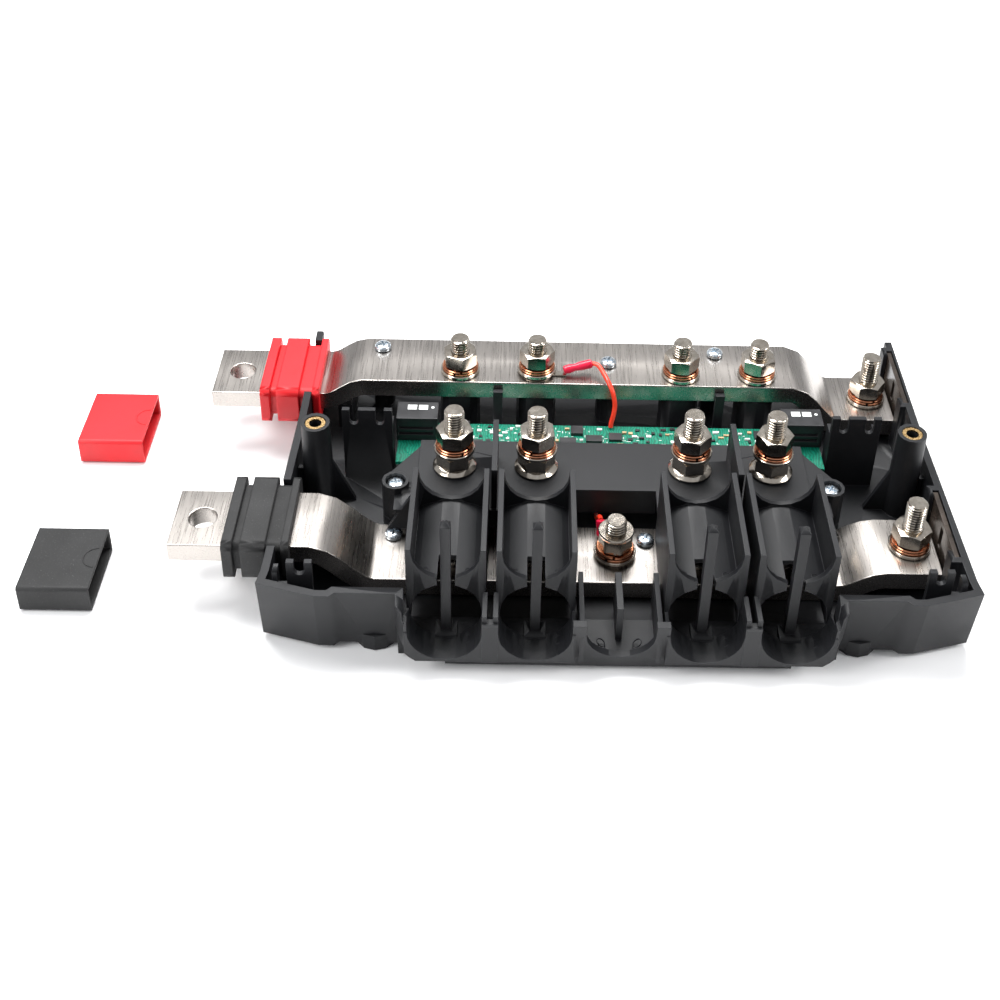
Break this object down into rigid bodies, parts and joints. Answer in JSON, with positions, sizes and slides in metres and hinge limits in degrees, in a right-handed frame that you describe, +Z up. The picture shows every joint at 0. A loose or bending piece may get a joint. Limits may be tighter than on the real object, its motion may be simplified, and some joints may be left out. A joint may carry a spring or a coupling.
{
  "type": "battery distribution busbar box",
  "caption": "Open-topped battery distribution box with two bent busbars, fused output studs on a moulded carrier, grommets and loose bar caps.",
  "frame": {"origin": "middle of the flat pad on the underside, on the plane midway between the left and right walls", "axes": "+X along the busbars to their lower right ends, +Y to the rear wall, +Z up out of the open top"},
  "size_m": [0.3576, 0.1667, 0.062],
  "materials": {
    "black_plastic": "moulded flame-retardant plastic, satin",
    "connector_plastic": "moulded connector housing",
    "gate_plastic": "smooth moulded plate",
    "tinned_copper": "tinned copper bar, brushed across its width",
    "nickel_steel": "nickel-plated steel, bright, warm tint",
    "copper_washer": "copper-coloured spring washer on a plain washer",
    "zinc_screw": "bright zinc-plated steel",
    "red_rubber": "moulded rubber, satin red",
    "black_rubber": "moulded rubber, matt black",
    "board_laminate": "solder mask over glass laminate",
    "red_insulation": "wire insulation and crimp sleeve"
  },
  "bodies": {
    "tray": {"base_tray": "black_plastic", "carrier_screw_left": "zinc_screw", "carrier_screw_right": "zinc_screw", "centre_stud": "nickel_steel", "circuit_board": "board_laminate", "data_connector_left": "connector_plastic", "data_connector_right": "connector_plastic", "fuse_1_stud": "nickel_steel", "fuse_2_stud": "nickel_steel", "fuse_3_stud": "nickel_steel", "fuse_4_stud": "nickel_steel", "negative_bar_screw_1": "zinc_screw", "negative_bar_screw_2": "zinc_screw", "negative_busbar": "tinned_copper", "negative_grommet": "black_rubber", "negative_link_stud": "nickel_steel", "negative_sense_lead": "red_insulation", "output_1_stud": "nickel_steel", "output_2_stud": "nickel_steel", "output_3_stud": "nickel_steel", "output_4_stud": "nickel_steel", "positive_bar_screw_1": "zinc_screw", "positive_bar_screw_2": "zinc_screw", "positive_bar_screw_3": "zinc_screw", "positive_busbar": "tinned_copper", "positive_grommet": "red_rubber", "positive_link_stud": "nickel_steel", "positive_sense_lead": "red_insulation", "return_1_stud": "nickel_steel", "return_2_stud": "nickel_steel", "return_3_stud": "nickel_steel", "return_4_stud": "nickel_steel", "terminal_carrier": "black_plastic"},
    "fuse_1_fastening": {"fuse_1_washers": "copper_washer", "fuse_1_nut": "nickel_steel"},
    "fuse_2_fastening": {"fuse_2_washers": "copper_washer", "fuse_2_nut": "nickel_steel"},
    "fuse_3_fastening": {"fuse_3_washers": "copper_washer", "fuse_3_nut": "nickel_steel"},
    "fuse_4_fastening": {"fuse_4_washers": "copper_washer", "fuse_4_nut": "nickel_steel"},
    "output_1_fastening": {"output_1_washers": "copper_washer", "output_1_nut": "nickel_steel"},
    "output_2_fastening": {"output_2_washers": "copper_washer", "output_2_nut": "nickel_steel"},
    "output_3_fastening": {"output_3_washers": "copper_washer", "output_3_nut": "nickel_steel"},
    "output_4_fastening": {"output_4_washers": "copper_washer", "output_4_nut": "nickel_steel"},
    "positive_link_fastening": {"positive_link_washers": "copper_washer", "positive_link_nut": "nickel_steel"},
    "negative_link_fastening": {"negative_link_washers": "copper_washer", "negative_link_nut": "nickel_steel"},
    "centre_fastening": {"centre_washers": "copper_washer", "centre_nut": "nickel_steel"},
    "rear_plate": {"blank_plate_rear": "gate_plastic"},
    "front_plate": {"blank_plate_front": "gate_plastic"},
    "positive_cap": {"positive_end_cap": "red_rubber"},
    "negative_cap": {"negative_end_cap": "black_rubber"}
  },
  "joints": [
    {"name": "fuse_1_nut_lift", "type": "slide", "parent": "tray", "child": "fuse_1_fastening", "axis": [0, 0, 1], "range_m": [0, 0.018]},
    {"name": "fuse_2_nut_lift", "type": "slide", "parent": "tray", "child": "fuse_2_fastening", "axis": [0, 0, 1], "range_m": [0, 0.018]},
    {"name": "fuse_3_nut_lift", "type": "slide", "parent": "tray", "child": "fuse_3_fastening", "axis": [0, 0, 1], "range_m": [0, 0.018]},
    {"name": "fuse_4_nut_lift", "type": "slide", "parent": "tray", "child": "fuse_4_fastening", "axis": [0, 0, 1], "range_m": [0, 0.018]},
    {"name": "output_1_nut_lift", "type": "slide", "parent": "tray", "child": "output_1_fastening", "axis": [0, 0, 1], "range_m": [0, 0.024]},
    {"name": "output_2_nut_lift", "type": "slide", "parent": "tray", "child": "output_2_fastening", "axis": [0, 0, 1], "range_m": [0, 0.024]},
    {"name": "output_3_nut_lift", "type": "slide", "parent": "tray", "child": "output_3_fastening", "axis": [0, 0, 1], "range_m": [0, 0.024]},
    {"name": "output_4_nut_lift", "type": "slide", "parent": "tray", "child": "output_4_fastening", "axis": [0, 0, 1], "range_m": [0, 0.024]},
    {"name": "positive_link_nut_lift", "type": "slide", "parent": "tray", "child": "positive_link_fastening", "axis": [0, 0, 1], "range_m": [0, 0.024]},
    {"name": "negative_link_nut_lift", "type": "slide", "parent": "tray", "child": "negative_link_fastening", "axis": [0, 0, 1], "range_m": [0, 0.024]},
    {"name": "centre_nut_lift", "type": "slide", "parent": "tray", "child": "centre_fastening", "axis": [0, 0, 1], "range_m": [0, 0.0185]},
    {"name": "rear_plate_lift", "type": "slide", "parent": "tray", "child": "rear_plate", "axis": [0, 0, 1], "range_m": [0, 0.03]},
    {"name": "front_plate_lift", "type": "slide", "parent": "tray", "child": "front_plate", "axis": [0, 0, 1], "range_m": [0, 0.03]},
    {"name": "positive_cap_lift", "type": "slide", "parent": "tray", "child": "positive_cap", "axis": [0, 0, 1], "range_m": [0, 0.0188]},
    {"name": "negative_cap_lift", "type": "slide", "parent": "tray", "child": "negative_cap", "axis": [0, 0, 1], "range_m": [0, 0.0188]}
  ]
}
